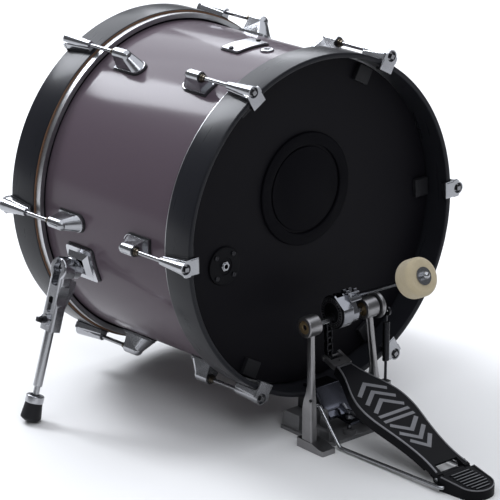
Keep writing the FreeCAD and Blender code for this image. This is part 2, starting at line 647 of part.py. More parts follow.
ANCHOR_Z = 60.0
SPRING_Y = AXLE_Y - CRANK_R * math.cos(math.radians(CRANK_ANGLE)) - 1.0


def make_frame():
    post = make_post("right")
    pedal("left_post", mirrored(make_post("left")))
    arm = box((POST_X["right"][0] + 2, SPRING_X + 6), (SPRING_Y - 7, SPRING_Y + 7), (ANCHOR_Z - 4, ANCHOR_Z))
    arm = arm.makeFillet(3.0, [e for e in arm.Edges if e.BoundBox.XMin > SPRING_X + 5
                               and e.BoundBox.ZLength > 3])
    arm = arm.cut(rod(2.0 + RUN, V(SPRING_X, SPRING_Y, 40), V(SPRING_X, SPRING_Y, 80)))
    pedal("right_post", post.fuse(arm).removeSplitter())
    bushes = []
    for side in ("left", "right"):
        outer = POST_X[side][1] + RING_W / 2
        inner = POST_X[side][1] - RING_W / 2
        bush = rod(BUSH_R, V(inner + 1, AXLE_Y, AXLE_Z), V(outer - 1, AXLE_Y, AXLE_Z))
        bush = bush.cut(rod(AXLE_R + RUN, V(inner, AXLE_Y, AXLE_Z), V(outer, AXLE_Y, AXLE_Z)))
        bushes.append(bush.makeChamfer(0.8, [e for e in bush.Edges if e.Closed and e.Length > 50]))
    pedal("axle_bushes", mirrored(bushes[0]), bushes[1])


CLAMP_PIVOT = (-38.0, 34.5)
CLAMP_PIN_R = 2.5
CLAMP_HALF_W = 22.0
BLOCK_TOP = 28.0
BASE_T = 5.0
CLAMP_BOLT = (-62.0, 3.0)


def make_base():
    """Base plate with its side rails and the block under the hoop."""
    half = BASE_HALF_W
    plate = prism([(-39, -74, 0), (39, -74, 0), (half, -52, 0), (half, 22, 0), (-half, 22, 0),
                   (-half, -52, 0)], BASE_T, V(0, 0, 1))
    block = side_prism([(-13, 1), (22, 1), (22, BLOCK_TOP - 6), (16, BLOCK_TOP),
                        (-13, BLOCK_TOP)], 3 - half, half - 3)
    rails = [box(x, (-66, -12), (1, 19)) for x in ((-41, -35), (35, 41))]
    rails = [r.makeFillet(2.5, [e for e in r.Edges if e.BoundBox.ZMin > 18.9]) for r in rails]
    boss = Part.makeCylinder(9, 10, V(0, CLAMP_BOLT[0], 2))
    py, pz = CLAMP_PIVOT
    ears = []
    for x in ((CLAMP_HALF_W + 0.3, CLAMP_HALF_W + 5), (-CLAMP_HALF_W - 5, -CLAMP_HALF_W - 0.3)):
        ear = side_prism([(py - 10, 1), (py + 9, 1), (py + 5, pz), (py - 5, pz)], x[0], x[1])
        ear = ear.fuse(rod(5.5, V(x[0], py, pz), V(x[1], py, pz)))
        ears.append(ear.cut(rod(CLAMP_PIN_R + RUN, V(x[0] - 1, py, pz), V(x[1] + 1, py, pz))))
    base = plate.fuse([block, boss] + rails + ears).removeSplitter()
    y, r = CLAMP_BOLT
    base = base.cut(Part.makeCylinder(r + RUN, 40, V(0, y, 1.5)))
    pedal("pedal_base", base)


def drum_solid_on_pedal(r, y0, y1):
    """A disc about the drum's axis, moved into the pedal's own coordinates."""
    disc = to_floor(Part.makeCylinder(r, y1 - y0, V(0, y0, 0), V(0, 1, 0)))
    disc.translate(V(-PEDAL_X, MID_Y, 0))
    return disc


def make_hoop_clamp():
    """Rubber pad under the hoop, plate hooked over it, and the wing bolt."""
    pad = box((-28, 28), (-11, 14), (BLOCK_TOP, 62))
    pad = pad.cut(drum_solid_on_pedal(HOOP_R, -30, 80))
    pedal("hoop_clamp_pad", pad)
    y, r = CLAMP_BOLT
    top = [(10, 62.4), (-15, 62.4), (-33, 41), (-48, 29), (y - 12, 26)]
    bottom = [(y - 12, 22.5), (-47, 25.5), (-30.5, 38), (-13.5, 58.8), (10, 58.8)]
    plate = side_prism(top + bottom, -CLAMP_HALF_W, CLAMP_HALF_W)
    tail = box((-60, -9), (-90, -47), (10, 70)).fuse(box((9, 60), (-90, -47), (10, 70)))
    plate = plate.cut(tail)
    plate = plate.cut(Part.makeCylinder(r + 3, 60, V(0, y, 0)))
    plate = plate.makeFillet(1.0, [e for e in plate.Edges
                                   if e.BoundBox.XLength > 40 and e.BoundBox.ZMax > 62])
    py, pz = CLAMP_PIVOT
    pin = rod(CLAMP_PIN_R, V(-CLAMP_HALF_W - 5, py, pz), V(CLAMP_HALF_W + 5, py, pz))
    pedal("hoop_clamp_plate", plate.fuse(pin).removeSplitter())
    shank = Part.makeCylinder(r, 34, V(0, y, 4))
    collar = Part.makeCylinder(7, 5.5, V(0, y, 28.5))
    wing = side_prism([(y - 20, 36), (y - 20, 43), (y - 12, 46), (y - 5, 40), (y + 5, 40),
                       (y + 12, 46), (y + 20, 43), (y + 20, 36), (y + 8, 32), (y - 8, 32)], -2, 2)
    wing = wing.makeFillet(1.4, [e for e in wing.Edges if e.BoundBox.XLength < 0.1])
    pedal("clamp_wing_bolt", shank.fuse([collar, wing]).removeSplitter())


def bent_wire(points, r, bends):
    """A round wire of straight runs joined by tangent arcs."""
    pts = [V(*p) for p in points]
    edges = []
    last = pts[0]
    for k in range(1, len(pts) - 1):
        to_last = (pts[k - 1] - pts[k]).normalize()
        to_next = (pts[k + 1] - pts[k]).normalize()
        half = to_last.getAngle(to_next) / 2
        trim = bends[k - 1] / math.tan(half)
        start = pts[k] + to_last * trim
        end = pts[k] + to_next * trim
        inward = (to_last + to_next).normalize()
        middle = pts[k] + inward * (bends[k - 1] / math.sin(half) - bends[k - 1])
        edges.append(Part.makeLine(last, start))
        edges.append(Part.Arc(start, middle, end).toShape())
        last = end
    edges.append(Part.makeLine(last, pts[-1]))
    path = Part.Wire(edges)
    tangent = (pts[1] - pts[0]).normalize()
    profile = Part.Wire([Part.makeCircle(r, pts[0], tangent)])
    return path.makePipeShell([profile], True, True)


HEEL_ROD_Y = -282.0


def make_radius_rods():
    y, z = RADIUS_ROD_AT
    wires = [bent_wire([(end, y, z), (bend, y, z), (43, -90, 4.2), (36, HEEL_ROD_Y, 8),
                        (27, HEEL_ROD_Y, 8)], RADIUS_ROD_R, (4.0, 8.0, 4.5))
             for end, bend in (RADIUS_ROD_END["left"], RADIUS_ROD_END["right"])]
    pedal("radius_rods", mirrored(wires[0]), wires[1])


# ---- axle, cam and beater -------------------------------------------------------
AXLE_END = 73.6


def at_axle(x):
    return V(x, AXLE_Y, AXLE_Z)


def make_axle():
    axle = rod(AXLE_R, at_axle(-66), at_axle(AXLE_END))
    corners = []
    for k in range(6):
        a = math.radians(60 * k + 10)
        corners.append((-41, AXLE_Y + 4.6 * math.cos(a), AXLE_Z + 4.6 * math.sin(a)))
    hexagon = prism(corners, 79, V(1, 0, 0))
    pedal("pedal_axle", axle.fuse(hexagon).removeSplitter())


AXLE_ROOM_R = 4.65


def at_cam(x):
    """The cam's own centre, which sits above the axle."""
    return V(x, AXLE_Y, AXLE_Z + CAM_RISE)


def make_cam():
    """The eccentric chain wheel, with a groove over the back and a flat at the front."""
    low, high = CAM_X - CAM_HALF_W, CAM_X + CAM_HALF_W
    cam = rod(CAM_FLANGE_R, at_cam(low), at_cam(high))
    groove = rod(CAM_FLANGE_R + 1, at_cam(low + 3), at_cam(high - 3))
    groove = groove.cut(rod(CAM_GROOVE_R, at_cam(low + 2), at_cam(high - 2)))
    groove = groove.common(box((low, high), (AXLE_Y - 5, AXLE_Y + 60), (AXLE_Z - 60, AXLE_Z + 60)))
    cam = cam.makeFillet(1.0, [e for e in cam.Edges if e.Closed]).cut(groove)
    flat = box((low - 1, high + 1), (-20, 20), (20.4, 40))
    flat.rotate(V(0, 0, 0), V(1, 0, 0), 36.6)
    flat.translate(V(0, AXLE_Y, AXLE_Z + CAM_RISE))
    ring = rod(17, at_cam(low - 0.8), at_cam(low)).cut(rod(13, at_cam(low - 2), at_cam(low + 1)))
    hub = rod(8, at_axle(low - 3), at_axle(low))
    cam = cam.cut(flat).fuse([ring, hub]).removeSplitter()
    pedal("chain_cam", cam.cut(rod(AXLE_ROOM_R, at_axle(low - 5), at_axle(high + 5))))


def shaft_point(along, off=0.0, x=SHAFT_X):
    """A point in the beater's plane: along the shaft, and off the shaft's line."""
    a = math.radians(SHAFT_ANGLE)
    u = V(0, -math.cos(a), math.sin(a))
    v = V(0, math.sin(a), math.cos(a))
    return at_axle(x) + u * along + v * (SHAFT_OFFSET + off)


def beater_shape(shape):
    """Move a shape from (x, along the shaft, off it) onto the axle."""
    copy = shape.copy()
    copy.rotate(V(0, 0, 0), V(1, 0, 0), 180 - SHAFT_ANGLE)
    copy = copy.mirror(V(0, 0, 0), V(0, math.sin(math.radians(SHAFT_ANGLE)),
                                     math.cos(math.radians(SHAFT_ANGLE))))
    copy.translate(at_axle(SHAFT_X))
    return copy


def make_beater_clamp():
    """Hub on the axle with the socket that the beater's shaft slides in."""
    half = 10.5
    hub = rod(12.5, at_axle(SHAFT_X - half), at_axle(SHAFT_X + half))
    hub = hub.makeFillet(1.5, [e for e in hub.Edges if e.Closed])
    web = box((-half + 2, half - 2), (-10, 14), (0, SHAFT_OFFSET))
    web = web.makeFillet(1.5, [e for e in web.Edges if e.BoundBox.ZLength > 20])
    block = box((-half, half), (-4, 26), (SHAFT_OFFSET - 8, SHAFT_OFFSET + 6))
    block = block.makeFillet(2.0, block.Edges)
    crest = [box(x, (2, 22), (SHAFT_OFFSET + 3, SHAFT_OFFSET + 10)) for x in ((-9.5, -4), (4, 9.5))]
    crest = [c.makeFillet(1.5, [e for e in c.Edges if e.BoundBox.ZMin > SHAFT_OFFSET + 4]) for c in crest]
    ear = box((-4, 4), (-26, -8), (-12, 4))
    ear = ear.makeFillet(2.0, [e for e in ear.Edges if e.BoundBox.XLength > 7])
    extras = [beater_shape(extra) for extra in [web, block, ear] + crest]
    clamp = hub.fuse(extras).removeSplitter()
    clamp = clamp.cut(rod(AXLE_ROOM_R, at_axle(-20), at_axle(60)))
    clamp = clamp.cut(rod(SHAFT_R + RUN, shaft_point(-40), shaft_point(60)))
    screws = []
    tall = V(0, math.sin(math.radians(SHAFT_ANGLE)), math.cos(math.radians(SHAFT_ANGLE)))
    for along in (17, 5):
        seat = shaft_point(along, 0)
        clamp = clamp.cut(rod(2.3 + RUN, seat, seat + tall * 20))
        shank = rod(2.3, seat + tall * (SHAFT_R + 0.2), seat + tall * 7)
        head = rod(3.4, seat + tall * 6.1, seat + tall * 7.5)
        screws.append(shank.fuse([head, key_square(seat + tall * 7.5, tall)]))
    pedal("beater_clamp", clamp)
    pedal("beater_key_screws", *screws)


def key_square(base, way):
    """The square end that a drum key turns."""
    square = box((-2.7, 2.7), (-2.7, 2.7), (0, 5))
    square = square.makeFillet(0.6, [e for e in square.Edges if e.BoundBox.ZMin > 4.9])
    turn = FreeCAD.Rotation(V(0, 0, 1), way)
    square.Placement = FreeCAD.Placement(base, turn)
    return square


def make_beater():
    low, high, r = FELT
    shaft = rod(SHAFT_R, shaft_point(-16), shaft_point(high + 3))
    pedal("beater_shaft", shaft)
    felt = rod(r, shaft_point(low), shaft_point(high))
    ends = [e for e in felt.Edges if e.Closed]
    ends.sort(key=lambda e: e.CenterOfMass.z)
    felt = felt.makeFillet(11.0, ends[:1])
    ends = [e for e in felt.Edges if e.Closed and e.Length > 170]
    ends.sort(key=lambda e: e.CenterOfMass.z)
    felt = felt.makeFillet(7.0, ends[-1:])
    felt = felt.cut(rod(SHAFT_R + RUN, shaft_point(low - 5), shaft_point(high + 5)))
    pedal("beater_felt", felt)
    washer = rod(12.5, shaft_point(high + 0.05), shaft_point(high + 1.6))
    nut = rod(6.0, shaft_point(high + 1.5), shaft_point(high + 6.5))
    dome = Part.makeSphere(5.2, shaft_point(high + 6.0))
    cap = washer.fuse([nut, dome]).removeSplitter()
    pedal("beater_nut", cap.cut(rod(SHAFT_R + RUN, shaft_point(low), shaft_point(high + 3.2))))


# ---- chain -----------------------------------------------------------------------
def board_point(u, n):
    """A (y, z) point on the footboard: u up its slope and n off it, from the hinge."""
    a = math.radians(BOARD_SLOPE)
    return HINGE_Y + u * math.cos(a) - n * math.sin(a), HINGE_Z + u * math.sin(a) + n * math.cos(a)


def chain_joints():
    """Pin centres from the toe pin, up the straight run and round the cam."""
    y0, z0 = board_point(*TOE_PIN)
    cam_z = AXLE_Z + CAM_RISE
    dy, dz = AXLE_Y - y0, cam_z - z0
    reach = math.hypot(dy, dz)
    straight = math.sqrt(reach ** 2 - CHAIN_R ** 2)
    to_axle = math.atan2(dz, dy)
    heading = to_axle - math.asin(CHAIN_R / reach)
    tangent = heading - math.pi / 2
    joints = []
    total = straight + CHAIN_R * math.radians(CHAIN_WRAP)
    for k in range(int(total / CHAIN_PITCH) + 1):
        s = k * CHAIN_PITCH
        if s <= straight:
            joints.append((y0 + s * math.cos(heading), z0 + s * math.sin(heading)))
        else:
            a = tangent + (s - straight) / CHAIN_R
            joints.append((AXLE_Y + CHAIN_R * math.cos(a), cam_z + CHAIN_R * math.sin(a)))
    return joints


def link_plate(a, b, x0, x1, r):
    """A side plate with round ends between two pin centres."""
    ends = [Part.makeCylinder(r, x1 - x0, V(x0, *p), V(1, 0, 0)) for p in (a, b)]
    dy, dz = b[0] - a[0], b[1] - a[1]
    length = math.hypot(dy, dz)
    ny, nz = -dz / length * r * 0.8, dy / length * r * 0.8
    bar = side_prism([(a[0] + ny, a[1] + nz), (b[0] + ny, b[1] + nz),
                      (b[0] - ny, b[1] - nz), (a[0] - ny, a[1] - nz)], x0, x1)
    return bar.fuse(ends).removeSplitter()


def make_chain():
    """Roller chain: inner links with rollers, outer links with pins."""
    joints = chain_joints()
    links = []
    for k in range(len(joints) - 1):
        a, b = joints[k], joints[k + 1]
        inner = k % 2 == 0
        gap, r = (3.0, 3.4) if inner else (4.2, 3.6)
        sides = [link_plate(a, b, CAM_X + s, CAM_X + s + 1.0, r) for s in (gap, -gap - 1.0)]
        if inner:
            rollers = [Part.makeCylinder(2.6, 2 * gap, V(CAM_X - gap, *p), V(1, 0, 0)) for p in (a, b)]
            link = sides[0].fuse([sides[1]] + rollers)
            for p in (a, b):
                link = link.cut(Part.makeCylinder(1.5, 12, V(CAM_X - 6, *p), V(1, 0, 0)))
        else:
            pins = [Part.makeCylinder(1.4, 11.2, V(CAM_X - 5.6, *p), V(1, 0, 0)) for p in (a, b)]
            link = sides[0].fuse([sides[1]] + pins)
        links.append(link.removeSplitter())
    pedal("drive_chain", *links)


# ---- footboard and heel -----------------------------------------------------------
def board_outline(inset, n, u_low, u_high):
    """The footboard's outline as a face at height n, inset from its edge."""
    left = [V(-(w - inset), u, n) for u, w in BOARD_EDGE]
    left[0].y = u_low
    left[-1].y = u_high
    right = [V(-p.x, p.y, p.z) for p in reversed(left)]
    sides = []
    for side in (left, right):
        curve = Part.BSplineCurve()
        curve.interpolate(side)
        sides.append(curve.toShape())
    toe = Part.makeLine(left[-1], right[0])
    heel = Part.makeLine(right[-1], left[0])
    return Part.Face(Part.Wire([sides[0], toe, sides[1], heel]))


def board_shape(shape):
    """Move a shape from footboard coordinates (x, u, n) onto its hinge."""
    copy = shape.copy()
    copy.rotate(V(0, 0, 0), V(1, 0, 0), BOARD_SLOPE)
    copy.translate(V(0, HINGE_Y, HINGE_Z))
    return copy


KNUCKLE = (21.0, 30.0)
KNUCKLE_R = 6.5
PIN_R = 3.0
NOTCH = 20.5
TONGUE = 19.8


def make_footboard():
    u0, u1 = BOARD_EDGE[0][0], BOARD_EDGE[-1][0]
    low = BOARD_TOP - SKIRT
    board = board_outline(0, low, u0, u1).extrude(V(0, 0, SKIRT))
    pocket = board_outline(3, low - 1, u0 + 6, u1 - 4).extrude(V(0, 0, SKIRT - BOARD_T + 1))
    board = board.makeFillet(1.2, [e for e in board.Edges if e.BoundBox.ZMin > BOARD_TOP - 0.1])
    panel = board_outline(2.6, BOARD_TOP - PANEL_SINK, u0 - 2, u1 - 4).extrude(V(0, 0, 3))
    board = board.cut(pocket).cut(panel)
    heel_room = box((-50, 50), (-20, 26), (low - 1, -KNUCKLE_R * 0.4))
    board = board.cut(heel_room)
    knuckles = []
    for x0, x1 in (KNUCKLE, (-KNUCKLE[1], -KNUCKLE[0])):
        knuckles.append(Part.makeCylinder(KNUCKLE_R, x1 - x0, V(x0, 0, 0), V(1, 0, 0)))
        knuckles.append(box((x0, x1), (0, 12), (-2, BOARD_TOP - 1)))
    board = board.fuse(knuckles).removeSplitter()
    board = board.cut(box((-NOTCH, NOTCH), (-10, 18), (-20, 20)))
    board = board.cut(Part.makeCylinder(PIN_R + RUN, 80, V(-40, 0, 0), V(1, 0, 0)))
    under = BOARD_TOP - BOARD_T
    board = board.cut(box((-9.1, 9.1), (u1 - 8, u1 + 1), (under - 3.1, under)))
    pedal("footboard", board_shape(board))

    pin = rod(PIN_R, V(-KNUCKLE[1] - 1, HINGE_Y, HINGE_Z), V(KNUCKLE[1] + 1, HINGE_Y, HINGE_Z))
    pedal("hinge_pin", pin.makeChamfer(0.6, [e for e in pin.Edges if e.Closed]))


def make_toe_fork():
    """The H-shaped toe piece that the chain pulls on."""
    neck = BOARD_EDGE[-1][0]
    under = BOARD_TOP - BOARD_T
    tip_u, tip_n = TOE_PIN
    arms = []
    for side in (-1, 1):
        x0, x1 = sorted((side * 11.4, side * 16.0))
        arm = box((x0, x1), (neck + 0.4, tip_u + 3), (tip_n - 3, tip_n + 4))
        arm = arm.fuse(Part.makeCylinder(4, x1 - x0, V(x0, tip_u, tip_n), V(1, 0, 0)))
        arms.append(arm)
    bar = box((-12, 12), (neck + 0.4, neck + 14), (tip_n - 2, tip_n + 4))
    bar = bar.cut(Part.makeCylinder(1.6, 20, V(0, neck + 9, tip_n - 8)))
    tail = box((-9, 9), (neck - 26, neck + 2), (under - 3, under - 0.05))
    riser = box((-9, 9), (neck + 0.4, neck + 2.4), (under - 3, tip_n + 3))
    fork = bar.fuse(arms + [tail, riser]).removeSplitter()
    pin = Part.makeCylinder(1.4, 34, V(-17, tip_u, tip_n), V(1, 0, 0))
    pedal("toe_fork", board_shape(fork.fuse(pin)))


def make_heel():
    """The heel plate: a sloping wedge with a round end, ribs and a hinge tongue."""
    front = HINGE_Y - 8
    side = HEEL_END + 26
    end_w = HEEL_HALF_W - 4
    bend = math.sin(math.radians(45))
    outline = [
        Part.makeLine(V(-HEEL_HALF_W, front, 0), V(-end_w, side, 0)),
        Part.Arc(V(-end_w, side, 0), V(-end_w * bend, side + (HEEL_END - side) * bend, 0),
                 V(0, HEEL_END, 0)).toShape(),
        Part.Arc(V(0, HEEL_END, 0), V(end_w * bend, side + (HEEL_END - side) * bend, 0),
                 V(end_w, side, 0)).toShape(),
        Part.makeLine(V(end_w, side, 0), V(HEEL_HALF_W, front, 0)),
        Part.makeLine(V(HEEL_HALF_W, front, 0), V(-HEEL_HALF_W, front, 0))]
    heel = Part.Face(Part.Wire(outline)).extrude(V(0, 0, 40))
    top = side_prism([(HEEL_END - 5, 12), (front + 5, 20.5), (front + 5, 60), (HEEL_END - 5, 60)],
                     -60, 60)
    heel = heel.cut(top)
    slope = math.atan2(8.5, front + 5 - HEEL_END + 5)
    for k in range(8):
        y = side - 16 + 6.2 * k
        z = 12 + (y - HEEL_END + 5) * math.tan(slope)
        reach = 19 if k > 1 else 13 + 3 * k
        rib = rod(1.3, V(-reach, y, z), V(reach, y, z))
        heel = heel.fuse(rib)
    tongue = rod(8.5, V(-TONGUE, HINGE_Y, HINGE_Z - 2), V(TONGUE, HINGE_Y, HINGE_Z - 2))
    neck = box((-TONGUE, TONGUE), (front - 6, HINGE_Y), (0, HINGE_Z + 4))
    lip = box((-TONGUE, TONGUE), (HINGE_Y, HINGE_Y + 14), (0, HINGE_Z + 2))
    lip = lip.makeFillet(3.0, [e for e in lip.Edges if e.BoundBox.YMin > HINGE_Y + 13.9
                               and e.BoundBox.XLength > 20])
    heel = heel.fuse([tongue, neck, lip]).removeSplitter()
    heel = heel.cut(rod(PIN_R + RUN, V(-50, HINGE_Y, HINGE_Z), V(50, HINGE_Y, HINGE_Z)))
    heel = heel.common(box((-60, 60), (-400, 0), (0, 60)))
    hole = rod(RADIUS_ROD_R + RUN, V(-60, HEEL_ROD_Y, 8), V(-26, HEEL_ROD_Y, 8))
    heel = heel.cut(hole).cut(mirrored(hole))
    pedal("heel_plate", heel)


# ---- return spring -----------------------------------------------------------------
def make_spring_set():
    """Crank on the axle's end, link, tension spring and its anchor."""
    disc = rod(19, at_axle(ROTOR_X), at_axle(ROTOR_X + 6))
    disc = disc.makeFillet(1.8, [e for e in disc.Edges if e.Closed])
    hub = rod(9, at_axle(ROTOR_X), at_axle(AXLE_END + 0.2))
    hub = hub.makeFillet(1.2, [e for e in hub.Edges if e.Closed])
    a = math.radians(CRANK_ANGLE)
    away = V(0, -math.cos(a), -math.sin(a)) * CRANK_R
    pin = rod(2.5, at_axle(ROTOR_X + 4) + away, at_axle(SPRING_X + 5) + away)
    head = rod(4.0, at_axle(SPRING_X + 3) + away, at_axle(SPRING_X + 5) + away)
    rotor = disc.fuse([hub, pin, head]).removeSplitter()
    pedal("spring_rotor", rotor.cut(rod(AXLE_R + RUN, at_axle(0), at_axle(200))))

    pin_z = AXLE_Z - CRANK_R * math.sin(a)
    x0, x1 = SPRING_X - 1.6, SPRING_X + 1.6
    eye = [rod(6.5, V(x0, SPRING_Y + s, pin_z), V(x1, SPRING_Y + s, pin_z)) for s in (-1.6, 1.6)]
    eye.append(box((x0, x1), (SPRING_Y - 1.6, SPRING_Y + 1.6), (pin_z - 6.5, pin_z + 6.5)))
    room = [rod(3.1, V(x0 - 1, SPRING_Y + s, pin_z), V(x1 + 1, SPRING_Y + s, pin_z))
            for s in (-1.6, 1.6)]
    room.append(box((x0 - 1, x1 + 1), (SPRING_Y - 1.6, SPRING_Y + 1.6), (pin_z - 3.1, pin_z + 3.1)))
    link = eye[0].fuse(eye[1:]).cut(room[0].fuse(room[1:]))
    stem = rod(1.6, V(SPRING_X, SPRING_Y, SPRING_Z[1] - 6), V(SPRING_X, SPRING_Y, pin_z - 4.5))
    pedal("spring_link", link.fuse(stem).removeSplitter())

    low, high = SPRING_Z
    coil_r, wire_r, pitch = 4.0, 0.9, 2.0
    coil = Part.makeHelix(pitch, high - low - 4, coil_r)
    start = V(coil_r, 0, 0)
    section = Part.Wire([Part.makeCircle(wire_r, start, V(0, 1, 0))])
    spring = Part.Wire(coil.Edges).makePipeShell([section], True, True)
    spring.translate(V(SPRING_X, SPRING_Y, low + 2))
    pedal("return_spring", spring)

    stem = rod(2.0, V(SPRING_X, SPRING_Y, ANCHOR_Z - 14), V(SPRING_X, SPRING_Y, low + 6))
    nut = Part.makeCylinder(5.5, 6, V(SPRING_X, SPRING_Y, ANCHOR_Z - 10.1))
    nut = nut.makeFillet(1.0, [e for e in nut.Edges if e.Closed])
    pedal("spring_anchor", stem.fuse(nut).removeSplitter())


# ---- assembly -------------------------------------------------------------------------
def make_all():
    make_shell()
    make_hoops()
    make_heads()
    make_strike_pad()
    make_head_blocks()
    make_trigger()
    make_jack()
    gaskets = make_lugs()
    make_claws()
    mount_gasket, mount_screws = make_mount()
    gaskets += make_spur_bracket() + [mount_gasket]
    drum("plate_screws", *mount_screws)
    drum("shell_gaskets", *gaskets)
    make_spur_leg()
    make_frame()
    make_base()
    make_hoop_clamp()
    make_radius_rods()
    make_axle()
    make_cam()
    make_beater_clamp()
    make_beater()
    make_chain()
    make_footboard()
    make_toe_fork()
    make_heel()
    make_spring_set()


os.makedirs("parts", exist_ok=True)
make_all()
for name, shapes in nodes.items():
    shape = shapes[0] if len(shapes) == 1 else Part.makeCompound(shapes)
    shape.exportStep("parts/" + name + ".step")
print(len(nodes), "nodes")
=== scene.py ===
import json
import math

import bmesh
import bpy
from mathutils import Matrix, Vector


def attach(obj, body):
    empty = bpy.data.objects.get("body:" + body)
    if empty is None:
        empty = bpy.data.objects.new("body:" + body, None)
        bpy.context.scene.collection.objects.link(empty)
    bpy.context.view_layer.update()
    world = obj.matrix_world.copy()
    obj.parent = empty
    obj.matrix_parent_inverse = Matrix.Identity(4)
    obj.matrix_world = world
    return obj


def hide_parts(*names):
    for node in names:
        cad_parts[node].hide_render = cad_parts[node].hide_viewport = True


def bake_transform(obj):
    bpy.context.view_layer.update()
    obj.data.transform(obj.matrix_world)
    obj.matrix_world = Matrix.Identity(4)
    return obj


# Looks of the trigger bass drum: detailed meshes, materials, floor, light and camera around
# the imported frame.

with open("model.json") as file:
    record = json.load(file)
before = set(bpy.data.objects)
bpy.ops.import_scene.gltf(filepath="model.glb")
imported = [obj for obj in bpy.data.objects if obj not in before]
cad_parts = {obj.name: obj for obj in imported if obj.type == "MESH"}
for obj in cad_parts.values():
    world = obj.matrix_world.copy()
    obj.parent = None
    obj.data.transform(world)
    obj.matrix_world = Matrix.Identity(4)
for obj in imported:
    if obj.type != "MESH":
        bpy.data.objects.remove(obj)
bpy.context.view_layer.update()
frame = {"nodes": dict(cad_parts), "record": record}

# ---- sizes that the meshes share with the CAD, in metres --------------------
SHELL_R = 0.2285
SHELL_T = 0.006
SHELL_Y = (0.042, 0.347)
HOOP_R = 0.242
HOOP_T = 0.0075
HOOP_W = 0.051
DRUM_LEN = 0.389
AXIS_H = 0.291
PITCH = math.radians(2.5)
PEDAL_X = -0.005
MID_Y = 0.035877
ROUND_STEPS = 384
SHARP = 35
SOFT_EDGE = 0.0004
AXLE = Vector((0, -0.041, 0.173))

DRUM = Matrix.Translation((0, -MID_Y, AXIS_H)) @ Matrix.Rotation(-PITCH, 4, "X")
PEDAL = Matrix.Translation((PEDAL_X, -MID_Y, 0))


# ---- mesh helpers --------------------------------------------------------------
def new_object(name, mesh):
    obj = bpy.data.objects.new(name, mesh)
    bpy.context.scene.collection.objects.link(obj)
    return obj


def from_bmesh(name, bm, smooth_angle=SHARP):
    bmesh.ops.recalc_face_normals(bm, faces=bm.faces)
    mesh = bpy.data.meshes.new(name)
    bm.to_mesh(mesh)
    bm.free()
    shade(mesh, smooth_angle)
    return new_object(name, mesh)


def shade(mesh, angle):
    """Smooth faces, with edges sharper than the angle kept crisp."""
    mesh.shade_smooth()
    limit = math.radians(angle)
    bm = bmesh.new()
    bm.from_mesh(mesh)
    for edge in bm.edges:
        if len(edge.link_faces) != 2 or edge.calc_face_angle(0) > limit:
            edge.smooth = False
    bm.to_mesh(mesh)
    bm.free()


def rounded(points, radii, steps=6):
    """A closed 2-D outline with each corner replaced by an arc of its radius."""
    if not hasattr(radii, "__len__"):
        radii = [radii] * len(points)
    out = []
    count = len(points)
    for k, point in enumerate(points):
        p = Vector(point)
        before = Vector(points[k - 1]) - p
        after = Vector(points[(k + 1) % count]) - p
        r = radii[k]
        if r <= 0:
            out.append(p)
            continue
        half = before.angle(after) / 2
        trim = min(r / math.tan(half), before.length * 0.49, after.length * 0.49)
        r = trim * math.tan(half)
        centre = p + (before.normalized() + after.normalized()).normalized() * (r / math.sin(half))
        start = p + before.normalized() * trim - centre
        end = p + after.normalized() * trim - centre
        sweep = start.angle_signed(end)
        for s in range(steps + 1):
            turned = start.copy()
            turned.rotate(Matrix.Rotation(-sweep * s / steps, 2))
            out.append(centre + turned)
    return out


def lathe(name, outline, place, segments):
    """Spin a closed (radius, along) outline about the place's +Y axis."""
    bm = bmesh.new()
    rings = []
    for r, y in outline:
        ring = []
        for k in range(segments):
            a = 2 * math.pi * k / segments
            ring.append(bm.verts.new((r * math.sin(a), y, r * math.cos(a))))
        rings.append(ring)
    for a, b in zip(rings, rings[1:] + rings[:1]):
        for k in range(segments):
            n = (k + 1) % segments
            bm.faces.new((a[k], a[n], b[n], b[k]))
    bm.transform(place)
    return from_bmesh(name, bm)


def refine(node, bevel=SOFT_EDGE):
    """A detailed copy of a CAD node: joined facets, softened edges and smooth shading."""
    crease = 32
    bm = bmesh.new()
    bm.from_mesh(frame["nodes"][node].data)
    bmesh.ops.remove_doubles(bm, verts=bm.verts, dist=1e-6)
    bmesh.ops.dissolve_limit(bm, angle_limit=math.radians(0.5), verts=bm.verts, edges=bm.edges)
    obj = from_bmesh(node + "_detailed", bm, crease)
    if bevel:
        soften = obj.modifiers.new("soft_edges", "BEVEL")
        soften.width = bevel
        soften.segments = 2
        soften.limit_method = "ANGLE"
        soften.angle_limit = math.radians(crease)
        soften.harden_normals = True
    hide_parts(node)
    return obj


def body_of_node(node):
    for body, members in frame["record"]["behaviour"]["bodies"].items():
        if node in members:
            return body
    raise ValueError(node)


def finish_piece(obj, material, body):
    obj.data.materials.clear()
    obj.data.materials.append(material)
    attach(obj, body)
    return obj


def refined(node, material):
    return finish_piece(refine(node), material, body_of_node(node))


def stretched(node, material):
    """A piece between the drum and a moving body: a detailed copy without softened edges, given its
    material and its transform baked, and left unattached to any body.
    """
    obj = refine(node, bevel=0)
    obj.data.materials.clear()
    obj.data.materials.append(material)
    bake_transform(obj)


def stand_in(obj, node, material):
    """A new mesh that takes the place of a CAD node."""
    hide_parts(node)
    return finish_piece(obj, material, body_of_node(node))


def two_tone(obj, material, place, picks):
    """Give a second material to the faces whose centre and normal picks() accepts."""
    obj.data.materials.append(material)
    back = place.inverted()
    turn = back.to_3x3()
    for face in obj.data.polygons:
        if picks(back @ face.center, turn @ face.normal):
            face.material_index = 1


